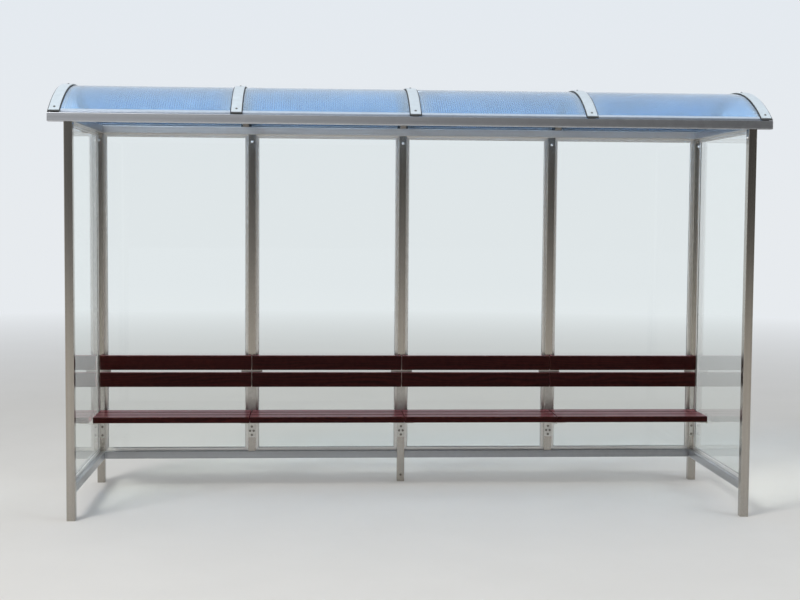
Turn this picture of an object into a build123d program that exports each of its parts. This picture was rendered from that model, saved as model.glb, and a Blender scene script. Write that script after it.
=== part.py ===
from build123d import *
from math import acos, degrees
import os

# A four-bay bus shelter: tube frame, glazed back and sides, arched twin-wall roof and timber bench.

os.makedirs("parts", exist_ok=True)

# Frame: X runs along the shelter, Y from the open front to the glazed back, Z up from the paving.
bays = 4
bay_pitch = 1000.0
depth_pitch = 1150.0
tube = 50.0
tube_wall = 3.0
tube_corner = 3.0
post_height = 2320.0
beam_depth = 60.0
beam_overhang = 115.0
rail_underside = 160.0
cap_thickness = 3.0

# Glazing: a bead frame runs round every pane, flush with the outside, and grips the glass in a groove.
bead_width = 20.0
bead_depth = 20.0
bead_chamfer = 4.0
glass_thickness = 8.0
glass_bite = 12.0

# Roof: ribs bent to an arc carry twin-wall sheets, held down by rubber and flat cover strips.
roof_rise = 204.0
strip_end_margin = 8.0
rib_width = 40.0
rib_depth = 25.0
rib_wall = 2.0
sheet_thickness = 10.0
sheet_joint = 8.0
sheet_edge_height = 12.0
gasket_width = 71.0
gasket_thickness = 5.0
gasket_edge_height = 1.0
strip_width = 60.0
strip_thickness = 4.0
strip_edge_height = 13.0
trim_wall = 1.6
trim_length = 17.0
trim_gap = 1.0
trim_clearance = 0.3

# Bench: boards run from bracket to bracket in every bay.
seat_height = 490.0
seat_board_width = 105.0
seat_board_thickness = 38.0
seat_boards = 3
seat_board_gap = 12.0
seat_set_back = 14.0
back_top = 857.0
back_board_height = 97.0
back_board_thickness = 34.0
back_boards = 2
back_board_gap = 16.0
board_edge_radius = 4.0
board_end_gap = 6.0

# Brackets: a plate on the post, a web on edge, a flat under the seat and a flat behind the backrest.
bracket_reach = 3.0
web_thickness = 6.0
web_nose_depth = 6.0
web_nose_radius = 4.0
web_root_depth = 48.0
plate_thickness = 6.0
plate_foot_height = 304.0
plate_below_top = 8.0
seat_flat_width = 120.0
seat_flat_thickness = 5.0
seat_flat_set_back = 10.0
back_flat_width = 140.0
back_flat_thickness = 6.0
back_flat_margin = 20.0

half_tube = tube / 2
half_length = bays * bay_pitch / 2
front_y = -depth_pitch / 2
back_y = depth_pitch / 2
rail_top = rail_underside + tube
beam_top = post_height + tube
beam_length = 2 * (half_length + beam_overhang)
beam_end_x = beam_length / 2 + cap_thickness
back_post_x = [bay_pitch * i - half_length for i in range(bays + 1)]
middle = bays // 2
bay_opening = bay_pitch - tube
side_opening = depth_pitch - tube
pane_height = post_height - rail_top
pane_centre_z = (post_height + rail_top) / 2

# The roof arc passes through the outer top edges of the two beams.
roof_half_chord = back_y + beam_depth / 2
roof_radius = roof_half_chord**2 / (2 * roof_rise) + roof_rise / 2
roof_centre_z = beam_top + roof_rise - roof_radius
rib_outer = roof_radius - sheet_thickness
gasket_outer = roof_radius + gasket_thickness
strip_outer = gasket_outer + strip_thickness
roof_end_x = beam_end_x - strip_end_margin
roof_bay_pitch = (2 * roof_end_x - strip_width) / bays
rib_x = [roof_bay_pitch * (i - bays / 2) for i in range(bays + 1)]


def arc_angle(radius, height_above_beam):
    """Angle from the crown at which a circle of this radius is this high above the beams."""
    return degrees(acos((beam_top + height_above_beam - roof_centre_z) / radius))


def write(node, label):
    """Label a finished piece and write it as one STEP file."""
    node.part.label = label
    export_step(node.part, f"parts/{label}.step")


def hollow_section(width, height):
    """Sketch a rounded hollow section on the current sketch plane."""
    RectangleRounded(width, height, tube_corner)
    Rectangle(width - 2 * tube_wall, height - 2 * tube_wall, mode=Mode.SUBTRACT)


def upright(x, y, foot):
    """Make a tube post that stands from the height foot up to the roof frame."""
    with BuildPart() as post:
        with BuildSketch(Plane((x, y, foot), z_dir=(0, 0, 1))):
            hollow_section(tube, tube)
        extrude(amount=post_height - foot)
    return post


def tube_along_x(start, end, y, z, depth=tube):
    """Make a level tube along X between two stations, centred at y and z."""
    with BuildPart() as bar:
        with BuildSketch(Plane((start, y, z), x_dir=(0, 1, 0), z_dir=(1, 0, 0))):
            hollow_section(depth, tube)
        extrude(amount=end - start)
    return bar


def tube_along_y(x, z, end_depth):
    """Make a level tube along Y between the two long sides, whose faces lie end_depth in from the centre."""
    with BuildPart() as bar:
        with BuildSketch(Plane((x, -end_depth, z), x_dir=(1, 0, 0), z_dir=(0, 1, 0))):
            hollow_section(tube, tube)
        extrude(amount=2 * end_depth)
    return bar


def arc_band(x_start, x_end, inner, outer, angle_from, angle_to, mode=Mode.ADD):
    """Extrude a band of the roof arc along X, with its ends cut square to the arc."""
    centre = (0, roof_centre_z)
    with BuildSketch(Plane((x_start, 0, 0), x_dir=(0, 1, 0), z_dir=(1, 0, 0))) as profile:
        with BuildLine():
            far = CenterArc(centre, outer, 90 - angle_to, angle_to - angle_from)
            near = CenterArc(centre, inner, 90 - angle_to, angle_to - angle_from)
            Line(far @ 0, near @ 0)
            Line(far @ 1, near @ 1)
        make_face()
    extrude(profile.sketch, amount=x_end - x_start, mode=mode)


# Posts: the front pair and three of the back row reach the ground.
for side, x in (("left", -half_length), ("right", half_length)):
    write(upright(x, front_y, 0), f"front_post_{side}")
    write(upright(x, back_y, 0), f"corner_post_{side}")
write(upright(back_post_x[middle], back_y, 0), "middle_post")

# Mullions: the other back posts stand on the bottom rail.
write(upright(back_post_x[middle - 1], back_y, rail_top), "mullion_left")
write(upright(back_post_x[middle + 1], back_y, rail_top), "mullion_right")

# Roof frame: two long beams lie on the posts, with a rail between them at each end.
beam_z = post_height + half_tube
beam_face = back_y - beam_depth / 2
for name, y in (("front_beam", front_y), ("back_beam", back_y)):
    write(tube_along_x(-beam_length / 2, beam_length / 2, y, beam_z, beam_depth), name)
for side, x in (("left", -half_length), ("right", half_length)):
    write(tube_along_y(x, beam_z, beam_face), f"top_rail_{side}")

# Beam end caps: four flat plugs close the open tube ends.
with BuildPart() as end_caps:
    for end_x in (-beam_end_x, beam_length / 2):
        with BuildSketch(Plane((end_x, 0, beam_z), x_dir=(0, 1, 0), z_dir=(1, 0, 0))):
            with Locations((front_y, 0), (back_y, 0)):
                RectangleRounded(beam_depth, tube, tube_corner)
        extrude(amount=cap_thickness)
write(end_caps, "beam_end_caps")

# Bottom rails: one on each side of the middle post, and one under each side pane.
rail_z = rail_underside + half_tube
post_face_y = back_y - half_tube
write(tube_along_x(-half_length + half_tube, -half_tube, back_y, rail_z), "bottom_rail_back_left")
write(tube_along_x(half_tube, half_length - half_tube, back_y, rail_z), "bottom_rail_back_right")
for side, x in (("left", -half_length), ("right", half_length)):
    write(tube_along_y(x, rail_z, post_face_y), f"bottom_rail_{side}")


def pane_plane(x, y, outward):
    """Plane through a pane's middle, with its own X level and its normal pointing outwards."""
    return Plane((x, y, pane_centre_z), x_dir=(-outward[1], outward[0], 0), z_dir=outward)


def bead_frame(plane, width):
    """Add a frame that fills an opening, chamfered towards its pane and grooved to hold it."""
    see_through = width - 2 * bead_width
    clear_height = pane_height - 2 * bead_width
    inner_face = plane.offset(-bead_depth / 2)
    outer_face = Plane(plane.offset(bead_depth / 2).origin, x_dir=plane.x_dir, z_dir=-plane.z_dir)
    with BuildSketch(inner_face) as ring:
        Rectangle(width, pane_height)
        Rectangle(see_through, clear_height, mode=Mode.SUBTRACT)
    extrude(ring.sketch, amount=bead_depth)
    for face in (outer_face, inner_face):
        with BuildSketch(face) as mouth:
            Rectangle(see_through + 2 * bead_chamfer, clear_height + 2 * bead_chamfer)
        extrude(mouth.sketch, amount=bead_chamfer, taper=45, mode=Mode.SUBTRACT)
    with BuildSketch(plane.offset(-glass_thickness / 2)) as groove:
        Rectangle(see_through + 2 * glass_bite, clear_height + 2 * glass_bite)
    extrude(groove.sketch, amount=glass_thickness, mode=Mode.SUBTRACT)


def glass_pane(plane, width):
    """Make the pane that fills the bead groove of one opening."""
    pane_width = width - 2 * bead_width + 2 * glass_bite
    with BuildPart() as pane:
        with BuildSketch(plane.offset(-glass_thickness / 2)):
            Rectangle(pane_width, pane_height - 2 * bead_width + 2 * glass_bite)
        extrude(amount=glass_thickness)
    return pane


# Back wall glazing: one pane and one bead frame in each bay.
glazing_offset = half_tube - bead_depth / 2
back_planes = [
    pane_plane(x + bay_pitch / 2, back_y + glazing_offset, (0, 1, 0)) for x in back_post_x[:-1]
]
with BuildPart() as back_beads:
    for plane in back_planes:
        bead_frame(plane, bay_opening)
write(back_beads, "back_glazing_beads")
for number, plane in enumerate(back_planes, start=1):
    write(glass_pane(plane, bay_opening), f"back_glass_{number}")

# Side wall glazing: one wide pane between the front post and the corner post.
for side, outward in (("left", -1), ("right", 1)):
    side_plane = pane_plane(outward * (half_length + glazing_offset), 0, (outward, 0, 0))
    with BuildPart() as side_beads:
        bead_frame(side_plane, side_opening)
    write(side_beads, f"side_glazing_beads_{side}")
    write(glass_pane(side_plane, side_opening), f"side_glass_{side}")

# Roof ribs: hollow bars bent to the arc, whose feet are cut level on the beams.
rib_inner = rib_outer - rib_depth
rib_angle = arc_angle(rib_inner, 0) + 3
with BuildPart() as ribs:
    for x in rib_x:
        left, right = x - rib_width / 2, x + rib_width / 2
        arc_band(left, right, rib_inner, rib_outer, -rib_angle, rib_angle)
        arc_band(
            left + rib_wall,
            right - rib_wall,
            rib_inner + rib_wall,
            rib_outer - rib_wall,
            -rib_angle,
            rib_angle,
            mode=Mode.SUBTRACT,
        )
    split(bisect_by=Plane.XY.offset(beam_top), keep=Keep.TOP)
write(ribs, "roof_ribs")

# Roof sheets: one in each roof bay, meeting on the ribs with a joint gap.
sheet_angle = arc_angle(roof_radius, sheet_edge_height)
for number in range(bays):
    start = rib_x[number] + sheet_joint / 2 if number else -roof_end_x
    end = rib_x[number + 1] - sheet_joint / 2 if number < bays - 1 else roof_end_x
    with BuildPart() as sheet:
        arc_band(start, end, rib_outer, roof_radius, -sheet_angle, sheet_angle)
    write(sheet, f"roof_sheet_{number + 1}")

# Edge trims: U profiles close the lower edge of each sheet between the cover strips.
slot_end = sheet_angle + degrees(trim_clearance / roof_radius)
trim_end = slot_end + degrees(trim_wall / roof_radius)
trim_start = sheet_angle - degrees(trim_length / roof_radius)
slot_inner = rib_outer - trim_clearance
slot_outer = roof_radius + trim_clearance
for side, turn in (("front", -1), ("back", 1)):
    with BuildPart() as trims:
        for x in rib_x[:-1]:
            left = x + gasket_width / 2 + trim_gap
            right = x + roof_bay_pitch - gasket_width / 2 - trim_gap
            low, high = sorted((turn * trim_start, turn * trim_end))
            arc_band(left, right, slot_inner - trim_wall, slot_outer + trim_wall, low, high)
            low, high = sorted((0, turn * slot_end))
            arc_band(left, right, slot_inner, slot_outer, low, high, mode=Mode.SUBTRACT)
    write(trims, f"edge_trims_{side}")

# Gaskets: rubber strips between the sheets and the cover strips, reaching down to the beams.
gasket_angle = arc_angle(roof_radius, gasket_edge_height)
with BuildPart() as gaskets:
    for x in rib_x:
        left, right = x - gasket_width / 2, x + gasket_width / 2
        arc_band(left, right, roof_radius, gasket_outer, -gasket_angle, gasket_angle)
write(gaskets, "cover_strip_gaskets")

# Cover strips: flat bars over the sheet joints, stopped short of the beams.
strip_angle = arc_angle(gasket_outer, strip_edge_height)
with BuildPart() as strips:
    for x in rib_x:
        left, right = x - strip_width / 2, x + strip_width / 2
        arc_band(left, right, gasket_outer, strip_outer, -strip_angle, strip_angle)
write(strips, "cover_strips")

# Bench layout: the board rows of the seat and of the backrest.
seat_depth = seat_boards * seat_board_width + (seat_boards - 1) * seat_board_gap
seat_rear_y = post_face_y - seat_set_back
seat_front_y = seat_rear_y - seat_depth
seat_under = seat_height - seat_board_thickness
plate_face_y = post_face_y - plate_thickness
back_rear_y = plate_face_y - back_flat_thickness
seat_row_pitch = seat_board_width + seat_board_gap
seat_rows_y = [seat_front_y + seat_board_width / 2 + i * seat_row_pitch for i in range(seat_boards)]
back_row_pitch = back_board_height + back_board_gap
back_rows_z = [back_top - back_board_height / 2 - i * back_row_pitch for i in range(back_boards)]
back_low_z = back_rows_z[-1] - back_board_height / 2


def board(start, end, y, z, depth, height):
    """Add one bench board along X with eased long edges."""
    with BuildSketch(Plane((start, y, z), x_dir=(0, 1, 0), z_dir=(1, 0, 0))) as profile:
        RectangleRounded(depth, height, board_edge_radius)
    extrude(profile.sketch, amount=end - start)


# Bench boards: three to sit on and two to lean on in every bay.
for number in range(bays):
    start = back_post_x[number] + board_end_gap / 2
    end = back_post_x[number + 1] - board_end_gap / 2
    seat_centre_z = seat_height - seat_board_thickness / 2
    back_centre_y = back_rear_y - back_board_thickness / 2
    with BuildPart() as seat:
        for y in seat_rows_y:
            board(start, end, y, seat_centre_z, seat_board_width, seat_board_thickness)
    write(seat, f"bench_seat_{number + 1}")
    with BuildPart() as back:
        for z in back_rows_z:
            board(start, end, back_centre_y, z, back_board_thickness, back_board_height)
    write(back, f"bench_back_{number + 1}")


def bracket_slab(post_x, width, y_range, z_range):
    """Add a block of the bracket across a post, cut off before it would reach a side wall bead."""
    limit = half_length + bracket_reach
    left = max(post_x - width / 2, -limit)
    right = min(post_x + width / 2, limit)
    with BuildSketch(Plane((0, 0, z_range[0]), z_dir=(0, 0, 1))) as outline:
        with Locations(((left + right) / 2, (y_range[0] + y_range[1]) / 2)):
            Rectangle(right - left, y_range[1] - y_range[0])
    extrude(outline.sketch, amount=z_range[1] - z_range[0])


def bracket_web(post_x):
    """Add the tapered web that carries the seat out from the post plate."""
    flat_under = seat_under - seat_flat_thickness
    nose_y = seat_front_y + seat_flat_set_back
    with BuildSketch(Plane((post_x - web_thickness / 2, 0, 0), x_dir=(0, 1, 0), z_dir=(1, 0, 0))) as web:
        with BuildLine():
            outline = FilletPolyline(
                (nose_y, flat_under),
                (nose_y, flat_under - web_nose_depth),
                (plate_face_y, flat_under - web_root_depth),
                radius=web_nose_radius,
            )
            Polyline(outline @ 1, (plate_face_y, flat_under), outline @ 0)
        make_face()
    extrude(web.sketch, amount=web_thickness)


# Bench brackets: one on every back post, half width at the corner posts.
with BuildPart() as brackets:
    for post_x in back_post_x:
        plate_z = (plate_foot_height, back_top - plate_below_top)
        seat_flat_y = (seat_front_y + seat_flat_set_back, plate_face_y)
        seat_flat_z = (seat_under - seat_flat_thickness, seat_under)
        back_flat_z = (back_low_z + back_flat_margin, back_top - back_flat_margin)
        bracket_slab(post_x, tube, (plate_face_y, post_face_y), plate_z)
        bracket_web(post_x)
        bracket_slab(post_x, seat_flat_width, seat_flat_y, seat_flat_z)
        bracket_slab(post_x, back_flat_width, (back_rear_y, plate_face_y), back_flat_z)
write(brackets, "bench_brackets")
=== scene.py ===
"""Looks of the bus shelter: tube frame, glazed walls, arched twin-wall roof and stained timber bench."""

import logging
import math
import random
from abc import ABC, abstractmethod
from dataclasses import dataclass
from enum import Enum
from functools import reduce
from typing import Callable, Iterable, Sequence

import bmesh
import bpy
from bmesh.types import BMEdge, BMFace, BMVert
from bpy.types import Node, NodeTree, Object
from mathutils import Matrix, Vector


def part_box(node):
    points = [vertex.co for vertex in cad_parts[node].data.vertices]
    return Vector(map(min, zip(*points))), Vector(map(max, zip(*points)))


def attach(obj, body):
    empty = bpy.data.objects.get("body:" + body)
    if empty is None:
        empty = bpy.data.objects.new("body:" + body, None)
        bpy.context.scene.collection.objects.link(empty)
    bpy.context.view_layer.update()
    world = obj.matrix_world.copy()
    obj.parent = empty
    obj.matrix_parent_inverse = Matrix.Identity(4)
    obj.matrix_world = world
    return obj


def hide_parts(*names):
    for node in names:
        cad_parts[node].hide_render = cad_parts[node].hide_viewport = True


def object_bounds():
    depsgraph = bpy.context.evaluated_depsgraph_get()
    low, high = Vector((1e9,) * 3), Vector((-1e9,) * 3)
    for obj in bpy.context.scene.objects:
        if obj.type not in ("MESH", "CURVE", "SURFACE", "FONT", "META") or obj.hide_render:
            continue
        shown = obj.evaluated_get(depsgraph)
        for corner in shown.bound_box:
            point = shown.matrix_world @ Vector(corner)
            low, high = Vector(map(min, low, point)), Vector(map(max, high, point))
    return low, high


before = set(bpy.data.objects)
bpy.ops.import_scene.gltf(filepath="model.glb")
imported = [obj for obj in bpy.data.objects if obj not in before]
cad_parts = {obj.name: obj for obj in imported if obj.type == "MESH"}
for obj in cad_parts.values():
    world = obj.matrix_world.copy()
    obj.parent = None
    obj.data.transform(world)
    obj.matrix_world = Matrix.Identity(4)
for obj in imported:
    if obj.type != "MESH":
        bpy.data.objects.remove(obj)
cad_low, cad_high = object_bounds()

LOG = logging.getLogger("bus_shelter")
MM = 0.001
WELD = 0.01 * MM
BODY = "root"
SECTIONS = range(1, 5)
UP = Vector((0.0, 0.0, 1.0))
TO_FRONT = Vector((0.0, -1.0, 0.0))

Colour = tuple[float, float, float]
Socket = bpy.types.NodeSocket
Sockets = dict[str, Socket]
Given = float | Sequence[float] | Socket
Fill = Callable[["Graph", Sockets], Sockets]
Verts = Iterable[BMVert]
Outline = Sequence[tuple[float, float]]
Box = tuple[Vector, Vector]
Spot = tuple[Vector, Vector]


class Axis(Enum):
    """Direction in which a profile runs, and in which its drawn lines run."""

    X = 0
    Y = 1
    Z = 2

    def unit(self) -> Vector:
        """Return the axis as a unit vector."""
        return Vector(self.stretch(1.0, 0.0))

    def stretch(self, along: float, across: float) -> tuple[float, float, float]:
        """Return three numbers in X, Y, Z order: one along the axis, the other across it."""
        return tuple(along if i == self.value else across for i in range(3))


class HeadShape(Enum):
    """Forms of fastener head on the shelter."""

    DOME = "dome"
    HEXAGON = "hexagon"
    PAN = "pan"


class Side(Enum):
    """Sides of the shelter as seen from the open front."""

    LEFT = -1
    RIGHT = 1


class Graph:
    """Adds and joins the shader nodes of one material, world or group."""

    def __init__(self, tree: NodeTree) -> None:
        """Keep the tree that the nodes go into."""
        self.tree = tree

    def node(self, kind: str, inputs: dict | None = None, **settings: object) -> Node:
        """Add a node.

        Args:
            kind: the node type's name after ShaderNode.
            inputs: values or sockets by input name or number.
            **settings: properties of the node itself.

        Returns:
            The new node.
        """
        made = self.tree.nodes.new(f"ShaderNode{kind}")
        for key, value in settings.items():
            setattr(made, key, value)
        for key, value in (inputs or {}).items():
            self.feed(made.inputs[key], value)
        return made

    def feed(self, target: Socket, value: Given) -> None:
        """Link a socket into an input, or set the input's own value.

        Args:
            target: the input to feed.
            value: a socket, number, vector or colour.
        """
        if isinstance(value, Socket):
            self.tree.links.new(value, target)
        elif isinstance(value, (int, float)) or len(value) == len(target.default_value):
            target.default_value = value
        else:
            target.default_value = (*value, 1.0)

    def calc(self, operation: str, *values: Given) -> Socket:
        """Join two or more values, one after the other, with one operation of the Math node.

        Args:
            operation: the Math node's operation.
            *values: the values.

        Returns:
            The result.
        """

        def pair(first: Given, second: Given) -> Socket:
            """Join two values."""
            return self.node("Math", {0: first, 1: second}, operation=operation).outputs[0]

        return reduce(pair, values)

    def plus(self, *values: Given) -> Socket:
        """Add values."""
        return self.calc("ADD", *values)

    def times(self, *values: Given) -> Socket:
        """Multiply values."""
        return self.calc("MULTIPLY", *values)

    def largest(self, *values: Given) -> Socket:
        """Return the largest of some values."""
        return self.calc("MAXIMUM", *values)

    def remap(self, value: Given, low: float, high: float, start: float = 0.0, end: float = 1.0) -> Socket:
        """Map the range from low to high to the range from start to end, clamped."""
        return self.node("MapRange", {"Value": value, 1: low, 2: high, 3: start, 4: end}).outputs[0]

    def between(self, mask: Given, start: float, end: float) -> Socket:
        """Map a mask's 0 and 1 to two values."""
        return self.remap(mask, 0.0, 1.0, start, end)

    def mix(self, factor: Given, first: Given, second: Given) -> Socket:
        """Mix two colours by the share of the second one."""
        return self.node("Mix", {0: factor, 6: first, 7: second}, data_type="RGBA").outputs[2]

    def layers(self, base: Given, *coats: tuple[Given, Given]) -> Socket:
        """Lay coats over a base colour, each a mask and a colour."""
        return reduce(lambda below, coat: self.mix(coat[0], below, coat[1]), coats, base)

    def vectors(self, operation: str, first: Given, second: Given) -> Socket:
        """Add a Vector Math node and return its vector."""
        return self.node("VectorMath", {0: first, 1: second}, operation=operation).outputs[0]

    def parts(self, vector: Socket) -> Sequence[Socket]:
        """Split a vector into its X, Y and Z values."""
        return self.node("SeparateXYZ", {0: vector}).outputs

    def vector(self, **parts: Given) -> Socket:
        """Make a vector of the parts that are given; the others are zero."""
        return self.node("CombineXYZ", parts).outputs[0]

    def noise(self, vector: Socket, scale: Given, detail: float = 3.0, roughness: float = 0.55) -> Socket:
        """Add a Noise texture.

        Args:
            vector: where the noise is read.
            scale: its scale, or its three scales in X, Y and Z.
            detail: number of octaves.
            roughness: strength of the finer octaves.

        Returns:
            The noise value.
        """
        if not isinstance(scale, float):
            vector, scale = self.vectors("MULTIPLY", vector, scale), 1.0
        inputs = {"Vector": vector, "Scale": scale, "Detail": detail, "Roughness": roughness}
        return self.node("TexNoise", inputs).outputs[0]

    def bump(self, height: Socket, strength: float, depth: float) -> Socket:
        """Turn a height into a surface normal."""
        return self.node("Bump", {"Height": height, "Strength": strength, "Distance": depth}).outputs[0]

    def attribute(self, name: str) -> Socket:
        """Return a value that a piece carries on its vertices."""
        return self.node("Attribute", attribute_name=name).outputs["Fac"]

    def place(self) -> Socket:
        """Return the object coordinates, in metres in the shelter's frame."""
        return self.node("TexCoord").outputs["Object"]

    def mirrored(self) -> Socket:
        """Return 1 for rays that a glossy surface has mirrored, 0 for all others."""
        return self.calc("MINIMUM", self.node("LightPath").outputs["Glossy Depth"], 1.0)

    def sight(self) -> Socket:
        """Return 1 for rays of sight, straight, mirrored or through glass, and 0 for those that light."""
        path = self.node("LightPath").outputs
        return self.largest(*(path[f"Is {kind} Ray"] for kind in ("Camera", "Glossy", "Transmission")))

    def effect(self, fill: Fill, **values: Given) -> list[Socket]:
        """Place a shared effect, which becomes one node group on its first use.

        Args:
            fill: adds the effect's nodes to its group.
            **values: the effect's own inputs.

        Returns:
            The effect's outputs.
        """
        tree = bpy.data.node_groups.get(fill.__name__)
        if tree is None:
            tree = bpy.data.node_groups.new(fill.__name__, "ShaderNodeTree")
            for label in ("Vector", *values):
                kind = "Vector" if label in ("Vector", "Stretch", "Scale") else "Float"
                tree.interface.new_socket(label, in_out="INPUT", socket_type=f"NodeSocket{kind}")
            start = tree.nodes.new("NodeGroupInput")
            inside = Graph(tree)
            masks = fill(inside, {label: start.outputs[label] for label in ("Vector", *values)})
            for label in masks:
                tree.interface.new_socket(label, in_out="OUTPUT", socket_type="NodeSocketFloat")
            end = tree.nodes.new("NodeGroupOutput")
            for label, mask in masks.items():
                inside.feed(end.inputs[label], mask)
        return list(self.node("Group", {"Vector": self.place(), **values}, node_tree=tree).outputs)

    def blend(self, share: Socket, first: Node, second: Node) -> Node:
        """Mix two shaders by the share of the second one."""
        return self.node("MixShader", {0: share, 1: first.outputs[0], 2: second.outputs[0]})

    def output(self, shader: Node, kind: str = "Material") -> None:
        """Send a shader to the surface output of a material or world."""
        self.node(f"Output{kind}", {"Surface": shader.outputs[0]})

    def surface(self, inputs: dict[str, Given]) -> None:
        """Put a Principled shader with these inputs on the material."""
        self.output(self.node("BsdfPrincipled", inputs))


def drawn_lines(graph: Graph, given: Sockets) -> Sockets:
    """Draw fine and broad lines that run along an extruded profile.

    Args:
        graph: the group's graph.
        given: the group's inputs.

    Returns:
        The group's outputs.
    """
    wide = graph.vectors("MULTIPLY", given["Stretch"], (0.16, 0.16, 0.16))
    fine, broad = (graph.noise(given["Vector"], scale, 2.0) for scale in (given["Stretch"], wide))
    return {"Fine": graph.remap(fine, 0.3, 0.7), "Broad": graph.remap(broad, 0.3, 0.7)}


def edge_wear(graph: Graph, given: Sockets) -> Sockets:
    """Mask corners and edges where handling has rubbed the surface.

    Args:
        graph: the group's graph.
        given: the group's inputs.

    Returns:
        The group's outputs.
    """
    edges = graph.remap(graph.node("NewGeometry").outputs["Pointiness"], 0.505, 0.56)
    patches = graph.remap(graph.noise(given["Vector"], 34.0, 4.0, 0.65), 0.36, 0.66)
    return {"Mask": graph.times(edges, patches, given["Amount"])}


def settled_dust_and_highlight(graph: Graph, given: Sockets) -> Sockets:
    """Mask dust on faces that look up and splashes near the ground; on the backrest the mask on faces that
    look up carries painted highlight.

    Args:
        graph: the group's graph.
        given: the group's inputs.

    Returns:
        The group's outputs.
    """
    facing_up = graph.remap(graph.parts(graph.node("NewGeometry").outputs["Normal"])[2], 0.35, 0.95)
    cloud = graph.remap(graph.noise(given["Vector"], 11.0, 5.0, 0.62), 0.3, 0.72)
    low = graph.remap(graph.parts(given["Vector"])[2], 0.42, 0.0)
    spots = graph.remap(graph.noise(given["Vector"], 120.0, 4.0, 0.7), 0.38, 0.68)
    settled = graph.times(facing_up, cloud, given["Settled"])
    return {"Mask": graph.largest(settled, graph.times(low, low, spots, given["Splashed"]))}


def mottle(graph: Graph, given: Sockets) -> Sockets:
    """Make soft clouds and small specks, around a half.

    Args:
        graph: the group's graph.
        given: the group's inputs.

    Returns:
        The group's outputs.
    """
    clouds = graph.noise(given["Vector"], given["Scale"], 4.0, 0.6)
    fine = graph.vectors("MULTIPLY", given["Scale"], (9.0, 9.0, 9.0))
    specks = graph.noise(given["Vector"], fine, 2.0, 0.5)
    return {"Clouds": graph.remap(clouds, 0.32, 0.68), "Specks": graph.remap(specks, 0.35, 0.65)}


def water_runs(graph: Graph, given: Sockets) -> Sockets:
    """Mask dried streaks that run down a surface, with droplets between them.

    Args:
        graph: the group's graph.
        given: the group's inputs.

    Returns:
        The group's outputs.
    """
    streaks = graph.remap(graph.noise(given["Vector"], (46.0, 46.0, 1.6), 4.0, 0.62), 0.56, 0.74)
    drops = graph.remap(graph.noise(given["Vector"], 210.0, 2.0, 0.4), 0.66, 0.76)
    patches = graph.remap(graph.noise(given["Vector"], 2.3), 0.42, 0.68)
    return {"Mask": graph.times(graph.largest(streaks, drops), patches, given["Amount"])}


def scratches(graph: Graph, given: Sockets) -> Sockets:
    """Mask thin scratches in two slanting directions.

    Args:
        graph: the group's graph.
        given: the group's inputs.

    Returns:
        The group's outputs.
    """
    masks = []
    for turn, share in (((0.3, 0.5, 0.9), 0.71), ((0.9, -0.4, -0.6), 0.73)):
        inputs = {"Vector": given["Vector"], "Rotation": turn, "Scale": (320.0, 9.0, 11.0)}
        turned = graph.node("Mapping", inputs).outputs[0]
        masks.append(graph.remap(graph.noise(turned, 1.0, 2.0, 0.5), share, share + 0.05))
    return {"Mask": graph.times(graph.largest(*masks), given["Amount"])}


class Finish(ABC):
    """A surface finish that is made into one material on first use."""

    name: str

    def material(self) -> bpy.types.Material:
        """Return the finish's material."""
        found = bpy.data.materials.get(self.name)
        if found is None:
            found = bpy.data.materials.new(self.name)
            found.use_nodes = True
            found.node_tree.nodes.clear()
            self.dress(Graph(found.node_tree))
        return found

    @abstractmethod
    def dress(self, graph: Graph) -> None:
        """Add the finish's nodes to its material."""


def shade(colour: Colour, factor: float) -> Colour:
    """Return a colour made darker or lighter by a factor."""
    return tuple(channel * factor for channel in colour)


@dataclass(frozen=True)
class DrawnAluminium(Finish):
    """Raw drawn aluminium with die lines, dull clouds, dust and rubbed edges."""

    name: str
    axis: Axis
    colour: Colour = (0.42, 0.392, 0.355)
    roughness: float = 0.2
    dulling: float = 0.02
    splashed: float = 0.4
    # Strength of painted shade that deepens towards the right.
    painted_shade_to_right: float = 0.0
    dust_colour: Colour = (0.30, 0.27, 0.22)

    def dress(self, graph: Graph) -> None:
        """Lay lines, clouds, painted shade towards the right, scratches, wear and dust over the metal.

        Args:
            graph: the material's graph.
        """
        fine, broad = graph.effect(drawn_lines, Stretch=self.axis.stretch(0.8, 300.0))
        clouds, _ = graph.effect(mottle, Scale=self.axis.stretch(0.9, 6.0))
        (marks,) = graph.effect(scratches, Amount=0.16)
        (wear,) = graph.effect(edge_wear, Amount=0.3)
        (dust,) = graph.effect(settled_dust_and_highlight, Settled=0.4, Splashed=self.splashed)
        (runs,) = graph.effect(water_runs, Amount=0.35)
        # Painted shade: the colour darkens from left to right by this finish's strength, standing in for
        # darker reflections on the right.
        painted_shade = graph.times(graph.remap(graph.parts(graph.place())[0], -0.6, 1.9), self.painted_shade_to_right)
        metal = graph.layers(
            graph.mix(broad, shade(self.colour, 0.9), shade(self.colour, 1.1)),
            (graph.times(fine, 0.16), shade(self.colour, 1.15)),
            (graph.times(clouds, 0.12), shade(self.colour, 0.8)),
            (painted_shade, shade(self.colour, 0.2)),
            (graph.largest(marks, wear), shade(self.colour, 1.4)),
            (graph.times(dust, 0.55), self.dust_colour),
        )
        rough = graph.between(fine, self.roughness - 0.02, self.roughness + 0.02)
        dulled = graph.times(graph.largest(dust, runs), self.dulling)
        relief = graph.calc("SUBTRACT", graph.plus(fine, broad), marks)
        inputs = {
            "Base Color": metal,
            "Metallic": graph.between(dust, 1.0, 0.25),
            "Roughness": graph.plus(rough, graph.times(clouds, 0.02), dulled),
            "Normal": graph.bump(relief, 0.15, 0.1 * MM),
        }
        graph.surface(inputs)


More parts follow.
